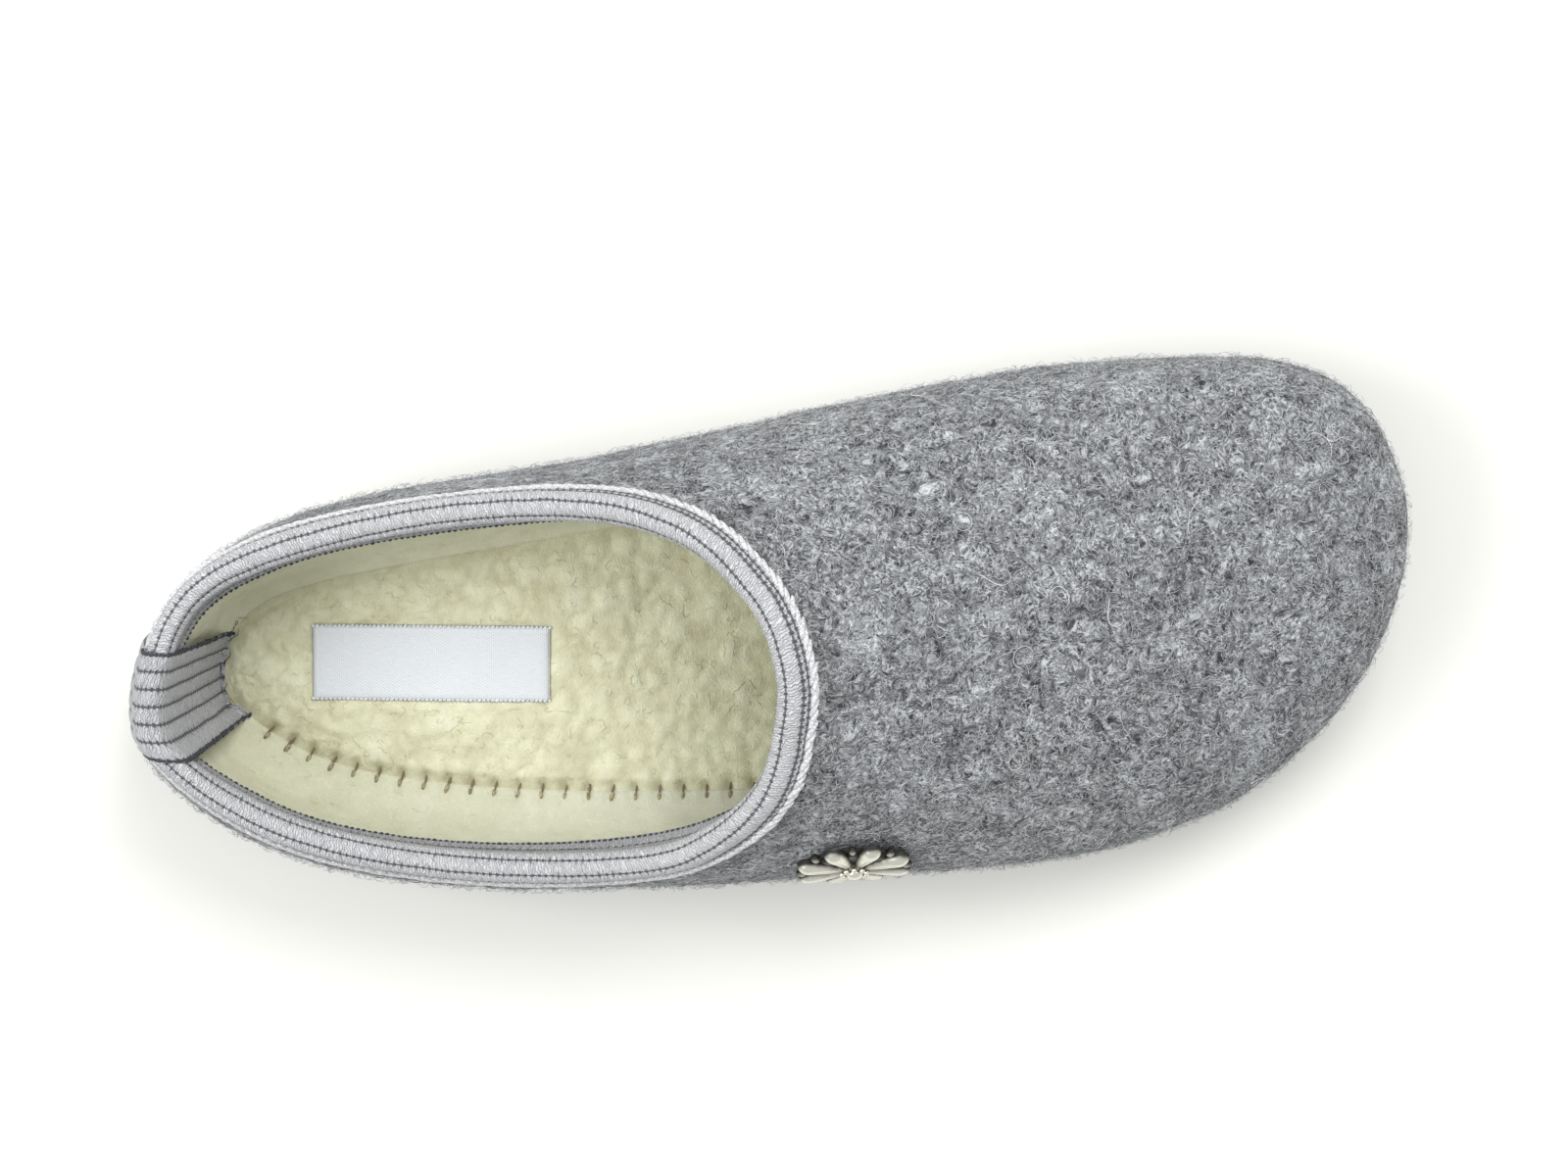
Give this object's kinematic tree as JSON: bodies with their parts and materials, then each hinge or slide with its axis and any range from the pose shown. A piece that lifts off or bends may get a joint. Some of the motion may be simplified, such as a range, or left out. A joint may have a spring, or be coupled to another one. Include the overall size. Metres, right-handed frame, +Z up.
{
  "type": "house slipper",
  "caption": "Felt house slipper for the right foot on a low rubber sole, with a fleece insole, ribbed tape round the collar and at the heel, a blank woven label and a metal flower.",
  "frame": {"origin": "on the floor, under the middle of the slipper's bounding box", "axes": "+X from heel to toe, +Y towards the inner side of the foot, +Z up"},
  "size_m": [0.2644, 0.1009, 0.0719],
  "materials": {
    "outsole": "matt dark taupe rubber",
    "insole": "cream wool fleece",
    "upper": "grey melange wool felt",
    "collar_tape": "light grey ribbed tape with dark lines",
    "heel_tape": "light grey ribbed tape with dark lines",
    "label": "white satin weave",
    "badge": "antiqued silver casting"
  },
  "bodies": {
    "root": {"outsole": "outsole", "insole": "insole", "upper": "upper", "collar_tape": "collar_tape", "heel_tape": "heel_tape", "label": "label", "badge": "badge"}
  },
  "joints": []
}
